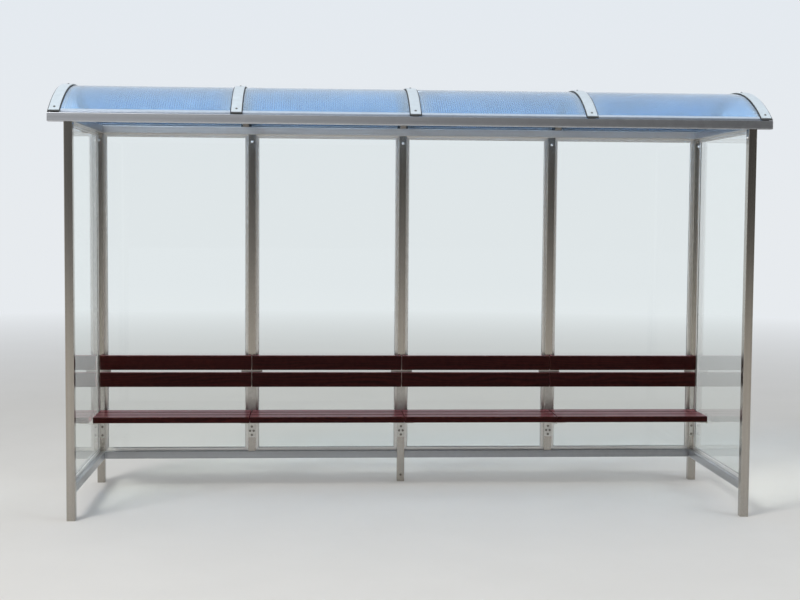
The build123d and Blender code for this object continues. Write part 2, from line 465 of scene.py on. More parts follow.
@dataclass(frozen=True)
class BrightAluminium(Finish):
    """Mill-bright aluminium with faint mottling, small dents and fine scratches."""

    name: str
    axis: Axis
    colour: Colour
    roughness: float = 0.31
    grain: float = 0.5
    metallic: float = 1.0
    splash_colour: Colour = (0.36, 0.33, 0.28)

    def dress(self, graph: Graph) -> None:
        """Lay mottling, grain, scratches and splashes over the metal, with painted light on level bars,
        which are made paler and less metallic.

        Args:
            graph: the material's graph.
        """
        fine, _ = graph.effect(drawn_lines, Stretch=self.axis.stretch(2.0, 420.0))
        clouds, specks = graph.effect(mottle, Scale=(26.0, 26.0, 26.0))
        (marks,) = graph.effect(scratches, Amount=0.2)
        (wear,) = graph.effect(edge_wear, Amount=0.15)
        (dust,) = graph.effect(settled_dust_and_highlight, Settled=0.0, Splashed=0.3)
        (runs,) = graph.effect(water_runs, Amount=0.3)
        # Painted light: level bars are made paler and less metallic than upright bars of the same metal.
        lying = graph.attribute("lying")
        metal = graph.layers(
            graph.mix(clouds, shade(self.colour, 0.92), shade(self.colour, 1.06)),
            (graph.times(specks, 0.07), shade(self.colour, 0.75)),
            (graph.times(fine, self.grain), self.colour),
            (graph.largest(marks, wear), shade(self.colour, 1.25)),
            (lying, shade(self.colour, 1.2)),
            (graph.times(dust, 0.6), self.splash_colour),
        )
        rough = graph.between(clouds, self.roughness - 0.02, self.roughness + 0.03)
        share = graph.times(graph.between(dust, 1.0, 0.4), graph.between(lying, 1.0, 0.5), self.metallic)
        inputs = {
            "Base Color": metal,
            "Metallic": share,
            "Roughness": graph.plus(rough, graph.times(graph.largest(dust, runs), 0.12)),
            "Normal": graph.bump(graph.plus(clouds, fine), 0.16, 0.12 * MM),
        }
        graph.surface(inputs)


class SeeThrough(Finish):
    """A clear finish whose shadow lets most of the light through."""

    shadow: Colour

    def clear(self, graph: Graph, inputs: dict[str, Given]) -> None:
        """Join the clear shader with a lighter one for shadow rays.

        Args:
            graph: the material's graph.
            inputs: inputs of the Principled shader.
        """
        body = graph.node("BsdfPrincipled", inputs)
        veil = graph.node("BsdfTransparent", {"Color": self.shadow})
        graph.output(graph.blend(graph.node("LightPath").outputs["Is Shadow Ray"], body, veil))


@dataclass(frozen=True)
class ClearGlass(SeeThrough):
    """Toughened glass with a faint green body, dried runs and splashes low down."""

    name: str = "pane_glass"
    tint: Colour = (0.955, 0.985, 0.97)
    shadow: Colour = (0.93, 0.96, 0.945)
    dirt_colour: Colour = (0.76, 0.75, 0.70)

    def dress(self, graph: Graph) -> None:
        """Dim the gloss where rain has dried.

        Args:
            graph: the material's graph.
        """
        (runs,) = graph.effect(water_runs, Amount=0.35)
        (dust,) = graph.effect(settled_dust_and_highlight, Settled=0.0, Splashed=0.5)
        dirt = graph.largest(graph.times(runs, 0.3), dust)
        inputs = {
            "Base Color": graph.mix(graph.times(dirt, 0.14), self.tint, self.dirt_colour),
            "Roughness": graph.remap(dirt, 0.35, 1.0, 0.0, 0.03),
            "IOR": 1.3,
            "Transmission Weight": 1.0,
        }
        self.clear(graph, inputs)


@dataclass(frozen=True)
class TwinWallPlastic(SeeThrough):
    """Clear bluish twin-wall sheet with slight haze, dust in patches and paler bands beside the cover
    strips.
    """

    name: str = "twin_wall_sheet"
    tint: Colour = (0.65, 0.825, 1.0)
    shadow: Colour = (0.90, 0.93, 0.96)
    dust_colour: Colour = (0.74, 0.74, 0.70)
    # Colour of the paler, greyer bands beside the cover strips.
    pale_band_colour: Colour = (0.93, 0.93, 0.92)
    flute_pitch: float = 13.2 * MM
    rib_pitch: float = 1040.0 * MM
    half_joint: float = 4.0 * MM
    strip_reach: tuple[float, float] = (120.0 * MM, 35.0 * MM)

    def lines(self, graph: Graph) -> tuple[Socket, Socket]:
        """Draw the flutes and the paler bands.

        Args:
            graph: the material's graph.

        Returns:
            The dark lines of the flutes and the grime that gathers beside the cover strips.
        """
        along = graph.parts(graph.place())[0]
        bay = graph.calc("MODULO", graph.largest(along, graph.times(along, -1.0)), self.rib_pitch)
        flute = graph.calc("PINGPONG", graph.calc("SUBTRACT", bay, self.half_joint), self.flute_pitch / 2)
        flute = graph.remap(flute, self.flute_pitch / 4, 0.0)
        streak = graph.remap(graph.noise(graph.place(), (60.0, 0.7, 0.7), 2.0), 0.3, 0.7)
        beside = graph.remap(graph.calc("PINGPONG", along, self.rib_pitch / 2), *self.strip_reach)
        beside = graph.times(beside, graph.remap(streak, 0.1, 0.9, 0.25, 1.0))
        return graph.plus(graph.times(flute, 0.8), graph.times(streak, 0.2)), beside

    def dress(self, graph: Graph) -> None:
        """Vary the haze and the tint over the sheet.

        Args:
            graph: the material's graph.
        """
        lines, beside = self.lines(graph)
        cloud, _ = graph.effect(mottle, Scale=(3.2, 5.0, 5.0))
        (dust,) = graph.effect(settled_dust_and_highlight, Settled=0.5, Splashed=0.0)
        tint = graph.layers(
            graph.mix(cloud, self.tint, shade(self.tint, 0.93)),
            (lines, shade(self.tint, 0.76)),
            (graph.times(dust, 0.3), self.dust_colour),
            (graph.times(beside, 0.5), self.pale_band_colour),
        )
        rough = graph.between(graph.largest(cloud, dust), 0.03, 0.14)
        inputs = {
            "Base Color": tint,
            "Roughness": graph.plus(rough, graph.times(beside, 0.1)),
            "IOR": 1.32,
            "Transmission Weight": 0.925,
        }
        self.clear(graph, inputs)


@dataclass(frozen=True)
class Rubber(Finish):
    """Matt rubber with a bloom of dust."""

    name: str = "gasket_rubber"
    dark: Colour = (0.012, 0.012, 0.013)
    pale: Colour = (0.026, 0.026, 0.027)
    dust_colour: Colour = (0.16, 0.15, 0.13)

    def dress(self, graph: Graph) -> None:
        """Grey the rubber in clouds and on top.

        Args:
            graph: the material's graph.
        """
        clouds, specks = graph.effect(mottle, Scale=(60.0, 60.0, 60.0))
        (dust,) = graph.effect(settled_dust_and_highlight, Settled=0.5, Splashed=0.6)
        rubber = graph.mix(clouds, self.dark, self.pale)
        inputs = {
            "Base Color": graph.mix(graph.times(dust, 0.35), rubber, self.dust_colour),
            "Roughness": graph.between(clouds, 0.52, 0.72),
            "Normal": graph.bump(specks, 0.3, 0.2 * MM),
        }
        graph.surface(inputs)


@dataclass(frozen=True)
class StainedTimber(Finish):
    """Softwood boards under dark red-brown gloss stain, with rings that show as grain and end grain."""

    name: str = "stained_timber"
    dark: Colour = (0.0070, 0.0011, 0.0011)
    bright: Colour = (0.027, 0.0036, 0.0030)
    bare: Colour = (0.17, 0.060, 0.036)
    settled: float = 0.3
    dust_and_highlight_share: float = 0.22
    dust_colour: Colour = (0.20, 0.13, 0.11)

    def rings(self, graph: Graph, board: Socket, apart: Socket) -> Socket:
        """Cut the boards out of ringed wood, each at its own distance from the heart.

        Args:
            graph: the material's graph.
            board: the board's own number.
            apart: coordinates that differ from board to board.

        Returns:
            The growth rings.
        """
        inputs = {"Vector": graph.vectors("MULTIPLY", apart, (0.9, 5.0, 5.0)), "Scale": 1.0}
        sway = graph.vectors("SUBTRACT", graph.node("TexNoise", inputs).outputs["Color"], (0.5, 0.5, 0.5))
        bent = graph.vectors("MULTIPLY", sway, (0.0, 0.16, 0.16))
        heart = graph.vector(Y=graph.times(board, 0.37), Z=graph.times(board, -0.21))
        inside = graph.vectors("ADD", graph.place(), graph.vectors("ADD", bent, heart))
        inputs = {
            "Vector": graph.vectors("MULTIPLY", inside, (0.0, 1.0, 1.0)),
            "Scale": 26.0,
            "Distortion": 1.1,
            "Detail": 2.0,
            "Detail Scale": 3.0,
        }
        return graph.node("TexWave", inputs, wave_type="RINGS", rings_direction="X").outputs["Fac"]

    def dress(self, graph: Graph) -> None:
        """Grain, stain, wear and dust the boards; the dust layer also carries painted highlight on the
        backrest.

        Args:
            graph: the material's graph.
        """
        board = graph.attribute("board")
        apart = graph.vectors("ADD", graph.place(), graph.vector(X=graph.times(board, 5.3)))
        fibres = graph.noise(apart, (3.0, 420.0, 420.0), 2.0)
        bands = graph.noise(apart, (1.1, 95.0, 95.0), 2.0)
        rings = self.rings(graph, board, apart)
        grain = graph.plus(graph.times(rings, 0.3), graph.times(fibres, 0.16), graph.times(bands, 0.54))
        grain = graph.remap(grain, 0.27, 0.73)
        tone = graph.remap(graph.noise(apart, (1.2, 7.0, 7.0), 2.0), 0.3, 0.7)
        (wear,) = graph.effect(edge_wear, Amount=0.5)
        (marks,) = graph.effect(scratches, Amount=0.15)
        # On the seat this layer is dust; on the backrest it is mainly painted highlight, pinkish grey on the
        # boards' top faces, with some dust.
        (dust,) = graph.effect(settled_dust_and_highlight, Settled=self.settled, Splashed=0.0)
        stain = graph.layers(
            graph.mix(grain, self.dark, self.bright),
            (graph.times(tone, 0.35), shade(self.dark, 0.8)),
            (wear, graph.mix(0.5, self.bright, self.bare)),
            (marks, self.bright),
            (graph.times(dust, self.dust_and_highlight_share), self.dust_colour),
        )
        dull = graph.largest(dust, wear)
        inputs = {
            "Base Color": stain,
            "Roughness": graph.between(dull, 0.29, 0.5),
            "Specular IOR Level": 0.06,
            "Specular Tint": (1.0, 0.60, 0.72),
            "Sheen Weight": 0.35,
            "Sheen Roughness": 0.3,
            "Sheen Tint": (0.9, 0.16, 0.24),
            "Normal": graph.bump(graph.plus(grain, graph.times(fibres, 0.5)), 0.12, 0.3 * MM),
            "Coat Weight": graph.remap(dull, 0.0, 0.8, 0.05, 0.02),
            "Coat Roughness": 0.12,
        }
        graph.surface(inputs)


@dataclass(frozen=True)
class ZincSteel(Finish):
    """Zinc-coated steel with faint crystals, grey clouds and a trace of rust near the ground."""

    name: str
    colour: Colour
    roughness: float
    crystals: float = 70.0
    rust_colour: Colour = (0.27, 0.23, 0.18)

    def dress(self, graph: Graph) -> None:
        """Lay crystals, clouds and wear over the zinc.

        Args:
            graph: the material's graph.
        """
        cells = graph.node("TexVoronoi", {"Vector": graph.place(), "Scale": self.crystals}).outputs["Color"]
        flake = graph.node("SeparateColor", {0: cells}).outputs[0]
        clouds, _ = graph.effect(mottle, Scale=(25.0, 25.0, 25.0))
        (wear,) = graph.effect(edge_wear, Amount=0.12)
        (dust,) = graph.effect(settled_dust_and_highlight, Settled=0.4, Splashed=0.35)
        metal = graph.layers(
            graph.mix(flake, shade(self.colour, 0.93), shade(self.colour, 1.06)),
            (graph.times(clouds, 0.3), shade(self.colour, 0.8)),
            (wear, shade(self.colour, 1.3)),
            (graph.times(dust, 0.6), self.rust_colour),
        )
        rough = graph.between(flake, self.roughness - 0.015, self.roughness + 0.02)
        inputs = {
            "Base Color": metal,
            "Metallic": graph.between(dust, 1.0, 0.3),
            "Roughness": graph.plus(rough, graph.times(dust, 0.15)),
            "Normal": graph.bump(clouds, 0.12, 0.15 * MM),
        }
        graph.surface(inputs)


@dataclass(frozen=True)
class StudioFloor(Finish):
    """Pale floor that keeps the shelter's shadow and fades into the backdrop colour far away.

    To rays that metal mirrors it glows as paving before the open front, with a darker street beyond: a
    painted reflection.
    """

    far_colour: Colour
    name: str = "studio_floor"
    colour: Colour = (0.66, 0.65, 0.63)
    left_street_glow: Colour = (0.42, 0.43, 0.46)
    right_street: Colour = (0.15, 0.147, 0.143)
    left_paving_glow: Colour = (0.80, 0.77, 0.71)
    right_paving: Colour = (0.72, 0.69, 0.64)
    fade: tuple[float, float] = (5.0, 17.0)
    paving_from: tuple[float, float] = (-2.0, -5.0)
    street_from: tuple[float, float] = (-14.0, -24.0)
    slant_from: tuple[float, float] = (0.2, -0.33)

    def dress(self, graph: Graph) -> None:
        """Mix the matt floor with the backdrop colour by distance.

        Args:
            graph: the material's graph.
        """
        place = graph.place()
        away = graph.node("VectorMath", {0: place}, operation="LENGTH").outputs["Value"]
        cloud = graph.remap(graph.noise(place, 1.7, 4.0), 0.3, 0.7)
        inputs = {"Base Color": graph.mix(cloud, shade(self.colour, 0.97), self.colour), "Roughness": 0.9}
        near = graph.node("BsdfPrincipled", inputs)
        x, y, _ = graph.parts(place)
        # Painted reflection: mirrored rays see a glow of paving and street colours instead of the lit floor.
        ahead = graph.times(graph.remap(y, *self.paving_from), graph.mirrored())
        slant = graph.remap(graph.calc("DIVIDE", x, y), *self.slant_from)
        street = graph.mix(slant, self.left_street_glow, self.right_street)
        paving = graph.mix(slant, self.left_paving_glow, self.right_paving)
        front = graph.mix(graph.remap(y, *self.street_from), paving, street)
        far = graph.node("Emission", {"Color": graph.mix(ahead, self.far_colour, front), "Strength": 1.0})
        share = graph.times(graph.remap(away, *self.fade), graph.sight())
        graph.output(graph.blend(graph.largest(share, ahead), near, far))


def looks_along(face: BMFace, axis: Axis) -> bool:
    """Tell whether a face looks along an axis, either way."""
    return abs(face.normal[axis.value]) > 0.99


def face_middle(box: Box, axis: Axis, side: int) -> Vector:
    """Return the middle of a box's face on an axis, on its low side (-1) or its high side (1)."""
    return (box[0] + box[1]) / 2 + axis.unit() * ((box[1] - box[0])[axis.value] * side / 2)


def stand_in_scene(name: str, data: bpy.types.ID) -> Object:
    """Put mesh, light or camera data into the scene as an object.

    Args:
        name: the object's name.
        data: what it shows.

    Returns:
        The object.
    """
    made = bpy.data.objects.new(name, data)
    bpy.context.scene.collection.objects.link(made)
    return made


class Workpiece:
    """A mesh in the making, with the few operations that the shelter's pieces share."""

    def __init__(self, name: str) -> None:
        """Start an empty piece under its name."""
        self.name = name
        self.mesh = bmesh.new()

    def everything(self) -> list:
        """Return all vertices, edges and faces."""
        return self.mesh.verts[:] + self.mesh.edges[:] + self.mesh.faces[:]

    def fresh(self, known: set[BMVert]) -> list[BMVert]:
        """Return the vertices that aren't among the known ones."""
        return [vert for vert in self.mesh.verts if vert not in known]

    def mark(self, name: str, verts: Verts, value: float) -> None:
        """Write a value on some vertices for their finish to read.

        Args:
            name: name of the value.
            verts: the vertices.
            value: what they get.
        """
        layer = self.mesh.verts.layers.float[name]
        for vert in verts:
            vert[layer] = value

    def block(self, low: Vector, high: Vector) -> list[BMVert]:
        """Add a block between its lowest and highest corner and return its vertices."""
        place = Matrix.Translation((low + high) / 2) @ Matrix.Diagonal((*(high - low), 1.0))
        return bmesh.ops.create_cube(self.mesh, size=1.0, matrix=place)["verts"]

    def bevel(self, items: list, width: float, segments: int = 2, affect: str = "EDGES") -> None:
        """Round some edges, or the corners at some vertices.

        Args:
            items: the edges or vertices to round.
            width: how far the rounding reaches, in metres.
            segments: number of steps round the corner.
            affect: EDGES or VERTICES.
        """
        shape = {"offset": width, "segments": segments, "profile": 0.5, "affect": affect}
        bmesh.ops.bevel(self.mesh, geom=items, material=-1, clamp_overlap=True, **shape)

    def frame_faces(self, width: float) -> None:
        """Lay a narrow rim inside each wide face, so that worn edges don't spread over the whole face.

        Args:
            width: the rim's width.
        """
        four_sided = [face for face in self.mesh.faces if len(face.verts) == 4]
        wide = [face for face in four_sided if min(edge.calc_length() for edge in face.edges) > 5 * width]
        bmesh.ops.inset_individual(self.mesh, faces=wide, thickness=width, use_even_offset=True)

    def edges_along(self, axis: Axis, verts: Verts) -> list[BMEdge]:
        """Find the edges among some vertices that run along an axis.

        Args:
            axis: the axis.
            verts: the vertices.

        Returns:
            The edges.
        """
        chosen = set(verts)
        among = [edge for edge in self.mesh.edges if chosen.issuperset(edge.verts)]
        runs = [edge.verts[1].co - edge.verts[0].co for edge in among]
        return [edge for edge, run in zip(among, runs) if abs(run[axis.value]) > 0.999 * run.length]

    def extrude(self, face: BMFace, run: Vector) -> list[BMVert]:
        """Draw a face out into a closed bar.

        Args:
            face: the flat outline.
            run: how far and which way it is drawn.

        Returns:
            The bar's vertices.
        """
        first = list(face.verts)
        made = bmesh.ops.extrude_face_region(self.mesh, geom=[face], use_keep_orig=True)["geom"]
        moved = [item for item in made if isinstance(item, BMVert)]
        bmesh.ops.translate(self.mesh, verts=moved, vec=run)
        return first + moved

    def points(self, places: Iterable[Vector]) -> list[BMVert]:
        """Add a vertex at each of some places."""
        return [bmesh.ops.create_vert(self.mesh, co=place)["vert"][0] for place in places]

    def cut(self, point: Vector, away: Vector) -> None:
        """Cut off what lies beyond a plane, and close the cut.

        Args:
            point: a point on the plane.
            away: direction of the side that goes.
        """
        plane = {"plane_co": point, "plane_no": away, "clear_outer": True}
        bmesh.ops.bisect_plane(self.mesh, geom=self.everything(), **plane)
        bmesh.ops.holes_fill(self.mesh, edges=[edge for edge in self.mesh.edges if edge.is_boundary])

    def weld(self, distance: float = WELD) -> None:
        """Join vertices that lie in one place."""
        bmesh.ops.remove_doubles(self.mesh, verts=self.mesh.verts, dist=distance)

    def data(self) -> bpy.types.Mesh:
        """Turn the work into mesh data and let go of it."""
        made = bpy.data.meshes.new(self.name)
        self.mesh.to_mesh(made)
        self.mesh.free()
        return made

    def join(self, data: bpy.types.Mesh, place: Matrix) -> None:
        """Add a copy of some mesh data.

        Args:
            data: the mesh data.
            place: where it goes.
        """
        known = set(self.mesh.verts)
        self.mesh.from_mesh(data)
        bmesh.ops.transform(self.mesh, matrix=place, verts=self.fresh(known))

    def finish(
        self, finish: Finish, slot: str, replaces: Sequence[str] = (), smooth_below: float = 32.0
    ) -> Object:
        """Turn the work into a piece of the shelter.

        Args:
            finish: the surface finish.
            slot: the record's material slot; not used.
            replaces: CAD nodes that the piece stands for.
            smooth_below: edges flatter than this many degrees shade smoothly.

        Returns:
            The finished object.
        """
        bmesh.ops.recalc_face_normals(self.mesh, faces=self.mesh.faces)
        data = self.data()
        data.shade_smooth()
        data.set_sharp_from_angle(angle=math.radians(smooth_below))
        data.materials.append(finish.material())
        made = stand_in_scene(self.name, data)
        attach(made, BODY)
        if replaces:
            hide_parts(*replaces)
        LOG.info("%s: %d faces", self.name, len(data.polygons))
        return made


def solid_boxes(node: str) -> list[Box]:
    """Measure the separate solids of a CAD node.

    Args:
        node: name of the node.

    Returns:
        Lowest and highest corner of each solid, ordered along X, Y and Z.
    """
    work = Workpiece(node)
    work.mesh.from_mesh(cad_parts[node].data)
    work.weld()
    waiting = set(work.mesh.verts)
    boxes = []
    while waiting:
        island = {waiting.pop()}
        front = set(island)
        while front:
            front = {edge.other_vert(vert) for vert in front for edge in vert.link_edges} - island
            island |= front
        waiting -= island
        ends = ([pick(vert.co[i] for vert in island) for i in range(3)] for pick in (min, max))
        boxes.append(tuple(map(Vector, ends)))
    work.mesh.free()
    return sorted(boxes, key=lambda box: [round(value, 4) for value in box[0]])


@dataclass
class TubeFrame:
    """Posts, mullions, beams and rails of square tube, and the plugs in the beam ends."""

    corner_radius: float = 3.0 * MM
    wall: float = 2.8 * MM
    end_ease: float = 0.35 * MM
    cap_ease: float = 0.8 * MM
    worn_rim: float = 3.0 * MM

    def tubes(self) -> dict[str, Axis]:
        """List the tubes.

        Returns:
            Each tube's node and the direction in which it runs.
        """
        posts = "front_post_left front_post_right corner_post_left corner_post_right middle_post"
        runs = {
            Axis.Z: f"{posts} mullion_left mullion_right",
            Axis.X: "front_beam back_beam bottom_rail_back_left bottom_rail_back_right",
            Axis.Y: "top_rail_left top_rail_right bottom_rail_left bottom_rail_right",
        }
        return {node: axis for axis, nodes in runs.items() for node in nodes.split()}

    def tube(self, node: str, axis: Axis, finish: Finish) -> Object:
        """Make one hollow tube with rounded corners.

        Args:
            node: the CAD node it stands for.
            axis: the direction in which it runs.
            finish: its surface finish.

        Returns:
            The finished tube.
        """
        work = Workpiece(f"{node}_tube")
        verts = work.block(*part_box(node))
        work.bevel(work.edges_along(axis, verts), self.corner_radius, 4)
        work.mesh.normal_update()
        ends = [face for face in work.mesh.faces if looks_along(face, axis)]
        bmesh.ops.inset_region(work.mesh, faces=ends, thickness=self.wall, use_even_offset=True)
        rims = [edge for face in ends for edge in face.edges]
        bmesh.ops.delete(work.mesh, geom=ends, context="FACES_ONLY")
        bmesh.ops.bridge_loops(work.mesh, edges=rims)
        work.mesh.normal_update()
        outer = [edge for edge in work.mesh.edges if self._is_outer_rim(edge, axis)]
        work.bevel(outer, self.end_ease, 1)
        work.frame_faces(self.worn_rim)
        return work.finish(finish, "frame_aluminium", [node])

    def _is_outer_rim(self, edge: BMEdge, axis: Axis) -> bool:
        """Tell whether an edge lies between a tube's cut end and its outside.

        Args:
            edge: the edge.
            axis: the direction in which the tube runs.

        Returns:
            True for an outer edge of the cut end.
        """
        ends = [face for face in edge.link_faces if looks_along(face, axis)]
        sides = [face for face in edge.link_faces if not looks_along(face, axis)]
        if len(ends) != 1 or len(sides) != 1:
            return False
        return (edge.verts[0].co - ends[0].calc_center_median()).dot(sides[0].normal) > 0.0

    def caps(self, finish: Finish) -> Object:
        """Make the four plugs that close the beam ends.

        Args:
            finish: their surface finish.

        Returns:
            The finished plugs.
        """
        work = Workpiece("beam_end_plugs")
        for box in solid_boxes("beam_end_caps"):
            work.bevel(work.edges_along(Axis.X, work.block(*box)), self.corner_radius, 4)
        face = cad_high.x - MM
        outer = [edge for edge in work.mesh.edges if all(abs(vert.co.x) > face for vert in edge.verts)]
        work.bevel(outer, self.cap_ease)
        return work.finish(finish, "frame_aluminium", ["beam_end_caps"])

    def build(self) -> None:
        """Make every tube and plug."""
        # The last number of the beam finish and of the low rail finish is the strength of painted shade that
        # deepens to the right.
        finishes = {
            Axis.X: DrawnAluminium("beam_aluminium", Axis.X, (0.57, 0.585, 0.62), 0.37, 0.1, 0.45, 0.6),
            Axis.Y: DrawnAluminium("rail_aluminium", Axis.Y, (0.46, 0.465, 0.48), 0.31, 0.1, 0.45),
            Axis.Z: DrawnAluminium("post_aluminium", Axis.Z),
        }
        low = DrawnAluminium("low_rail_aluminium", Axis.X, (0.40, 0.408, 0.425), 0.31, 0.1, 0.5, 0.3)
        back = DrawnAluminium("back_beam_aluminium", Axis.X, (0.55, 0.53, 0.515), 0.37, 0.1)
        special = {"bottom_rail_back_left": low, "bottom_rail_back_right": low, "back_beam": back}
        for node, axis in self.tubes().items():
            self.tube(node, axis, special.get(node, finishes[axis]))
        self.caps(finishes[Axis.Y])


@dataclass
class Glazing:
    """Panes, the mitred bead round each one, and the thin seals between them."""

    bead_width: float = 20.0 * MM
    glass_bite: float = 12.0 * MM
    half_depth: float = 10.0 * MM
    half_glass: float = 4.0 * MM
    chamfer: float = 4.0 * MM
    scored_line: float = 0.5 * MM
    seal_width: float = 1.1 * MM
    seal_height: float = 1.3 * MM
    seal_bite: float = 0.02 * MM
    joint: float = 0.12 * MM

    def ring(self, work: Workpiece, pane: str, profile: Outline) -> None:
        """Add four mitred bars round one pane, with the level bars marked for painted light.

        Args:
            work: the piece that gets the bars.
            pane: the glass node inside them.
            profile: outline as pairs of distance from the opening's edge and distance across the glass.
        """
        low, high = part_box(pane)
        centre = (low + high) / 2
        level = Axis.Y if high.x - low.x < high.y - low.y else Axis.X
        margin = 2 * (self.bead_width - self.glass_bite)
        width = (high - low)[level.value] + margin
        height = (high - low).z + margin
        right = level.unit()
        sides = (
            (centre - UP * height / 2, right, UP, width),
            (centre + UP * height / 2, -right, -UP, width),
            (centre - right * width / 2, -UP, right, height),
            (centre + right * width / 2, UP, -right, height),
        )
        for origin, run, inward, length in sides:
            known = set(work.mesh.verts)
            turn = Matrix((run, inward, right.cross(UP))).transposed().to_4x4()
            data = self._bar(length, profile)
            work.join(data, Matrix.Translation(origin) @ turn)
            bpy.data.meshes.remove(data)
            # Level bars are marked for the painted light that their finish lays on them.
            work.mark("lying", work.fresh(known), float(abs(run.z) < 0.5))

    def _bar(self, length: float, profile: Outline) -> bpy.types.Mesh:
        """Make one bar along X, cut off at 45 degrees at both ends.

        Args:
            length: length of its outer edge.
            profile: outline of the bar.

        Returns:
            The bar's mesh data.
        """
        bar = Workpiece("bar")
        verts = bar.points(Vector((-length / 2, inward, side)) for inward, side in profile)
        bar.extrude(bar.mesh.faces.new(verts), Axis.X.unit() * length)
        for end in (-1.0, 1.0):
            point = Vector((end * (length / 2 - self.joint), 0.0, 0.0))
            bar.cut(point, Vector((end, 1.0, 0.0)).normalized())
        return bar.data()

    def bead_profile(self) -> Outline:
        """Draw the bead.

        Returns:
            The outline of the bead with its groove for the glass.
        """
        deep, side, half, line = self.bead_width, self.half_depth, self.half_glass, self.scored_line
        bottom = deep - self.glass_bite
        return [
            (0.0, -side),
            (deep - self.chamfer, -side),
            (deep, -side + self.chamfer),
            (deep, -half),
            (bottom, -half),
            (bottom, half),
            (deep, half),
            (deep, side - self.chamfer),
            (deep - self.chamfer, side),
            (deep / 3 + line, side),
            (deep / 3, side - line),
            (deep / 3 - line, side),
            (0.0, side),
        ]

    def seal_profile(self, side: float) -> Outline:
        """Draw the seal on one face of the glass.

        Args:
            side: which face, -1 or 1.

        Returns:
            The outline of the seal.
        """
        inner, outer = self.bead_width - self.seal_bite, self.bead_width + self.seal_width
        return [
            (inner, side * self.half_glass),
            (outer, side * self.half_glass),
            (self.bead_width + self.seal_width * 0.7, side * (self.half_glass + self.seal_height * 0.6)),
            (inner, side * (self.half_glass + self.seal_height)),
        ]

    def build(self) -> None:
        """Dress the panes and make the beads and seals."""
        glass = ClearGlass().material()
        bright = BrightAluminium("bead_aluminium", Axis.Z, (0.76, 0.745, 0.72))
        walls = {
            "back_glazing_beads": [f"back_glass_{number}" for number in SECTIONS],
            "side_glazing_beads_left": ["side_glass_left"],
            "side_glazing_beads_right": ["side_glass_right"],
        }
        seals = Workpiece("glazing_seals")
        seals.mesh.verts.layers.float.new("lying")
        for node, panes in walls.items():
            beads = Workpiece(node.replace("glazing_beads", "mitred_beads"))
            beads.mesh.verts.layers.float.new("lying")
            for pane in panes:
                self.ring(beads, pane, self.bead_profile())
                for side in (-1.0, 1.0):
                    self.ring(seals, pane, self.seal_profile(side))
                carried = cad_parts[pane].data.materials
                carried.clear()
                carried.append(glass)
                LOG.info("%s: clear glass", pane)
            beads.finish(bright, "bright_aluminium", [node])
        seals.finish(Rubber("grey_seal", (0.16, 0.16, 0.155), (0.21, 0.21, 0.20)), "black_rubber")


